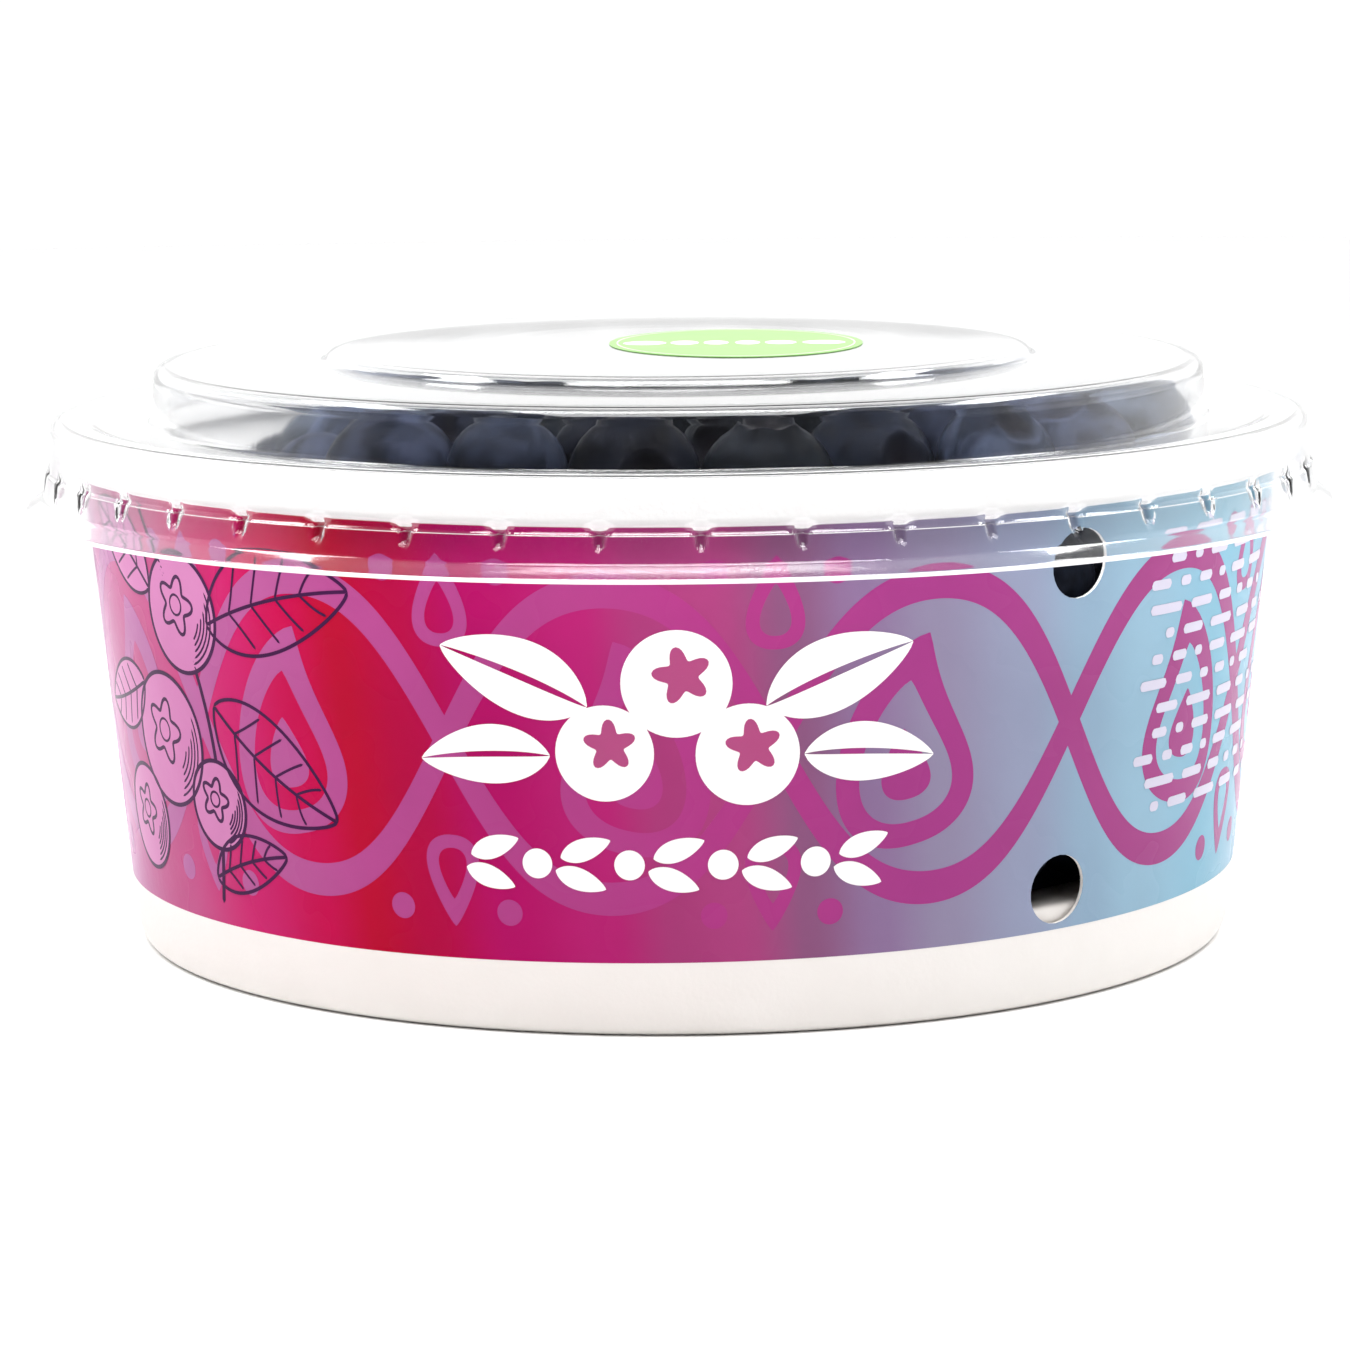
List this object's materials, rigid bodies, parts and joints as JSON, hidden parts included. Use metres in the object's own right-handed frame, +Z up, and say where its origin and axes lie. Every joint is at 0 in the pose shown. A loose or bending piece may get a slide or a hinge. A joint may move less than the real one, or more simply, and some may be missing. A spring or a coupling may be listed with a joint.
{
  "type": "punnet of blueberries",
  "caption": "Round printed paperboard bowl filled with dark blue berries, shut with a clear two-tier press-on lid, with vent holes in the wall and an oval sticker on top.",
  "frame": {"origin": "centre of the bowl's foot, on the surface that it stands on", "axes": "+Z up out of the bowl through the lid; -Y is the front of the printed wall and +X is its right side"},
  "size_m": [0.1592, 0.1592, 0.072],
  "materials": {
    "board": "matt white",
    "print": "glossy print running from crimson over magenta to pale blue",
    "clear_plastic": "clear and glossy",
    "sticker_paper": "pale green, slightly glossy",
    "berry_skin": "fruit skin, almost black with a grey-blue bloom"
  },
  "bodies": {
    "root": {"bowl": "board", "bowl_base": "board", "printed_band": "print", "lid": "clear_plastic", "sticker": "sticker_paper", "blueberries": "berry_skin"}
  },
  "joints": []
}
